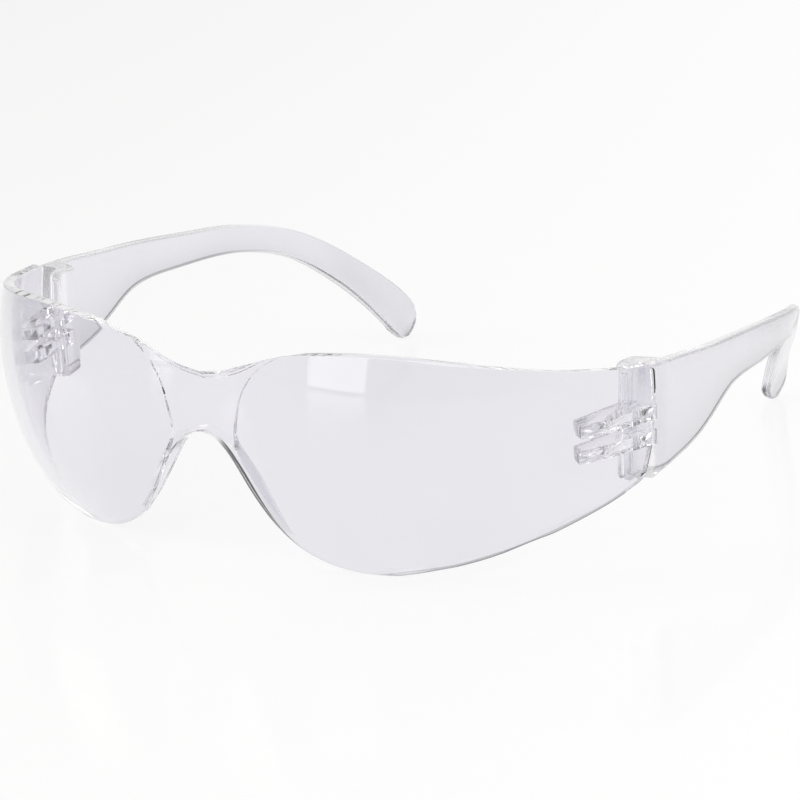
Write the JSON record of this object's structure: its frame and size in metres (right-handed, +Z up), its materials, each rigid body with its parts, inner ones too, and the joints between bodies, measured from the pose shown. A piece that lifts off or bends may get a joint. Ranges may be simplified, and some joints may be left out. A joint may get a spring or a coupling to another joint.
{
  "type": "safety glasses",
  "caption": "Clear wraparound safety glasses: one dual-dome lens shield with a moulded nose bridge and two hinged temples that fold inwards.",
  "frame": {"origin": "middle of the footprint, on the surface that the lens and the temple tips rest on", "axes": "+Z up, the lens faces -Y, the temples run to +Y, +X is the wearer's left"},
  "size_m": [0.1446, 0.144, 0.0444],
  "materials": {
    "clear_lens": "polished clear polycarbonate with a hard coat",
    "clear_temple": "clear polycarbonate, very slightly frosted",
    "clear_pin": "clear moulded plastic pin"
  },
  "bodies": {
    "lens": {"lens_shield": "clear_lens"},
    "temple_left": {"temple_left": "clear_temple", "hinge_pin_left": "clear_pin"},
    "temple_right": {"temple_right": "clear_temple", "hinge_pin_right": "clear_pin"}
  },
  "joints": [
    {"name": "fold_left", "type": "hinge", "parent": "lens", "child": "temple_left", "pos_m": [0.0657, -0.0272, 0.0252], "axis": [0, 0, 1], "range_deg": [0, 90]},
    {"name": "fold_right", "type": "hinge", "parent": "lens", "child": "temple_right", "pos_m": [-0.0657, -0.0272, 0.0252], "axis": [0, 0, -1], "range_deg": [0, 78]}
  ]
}
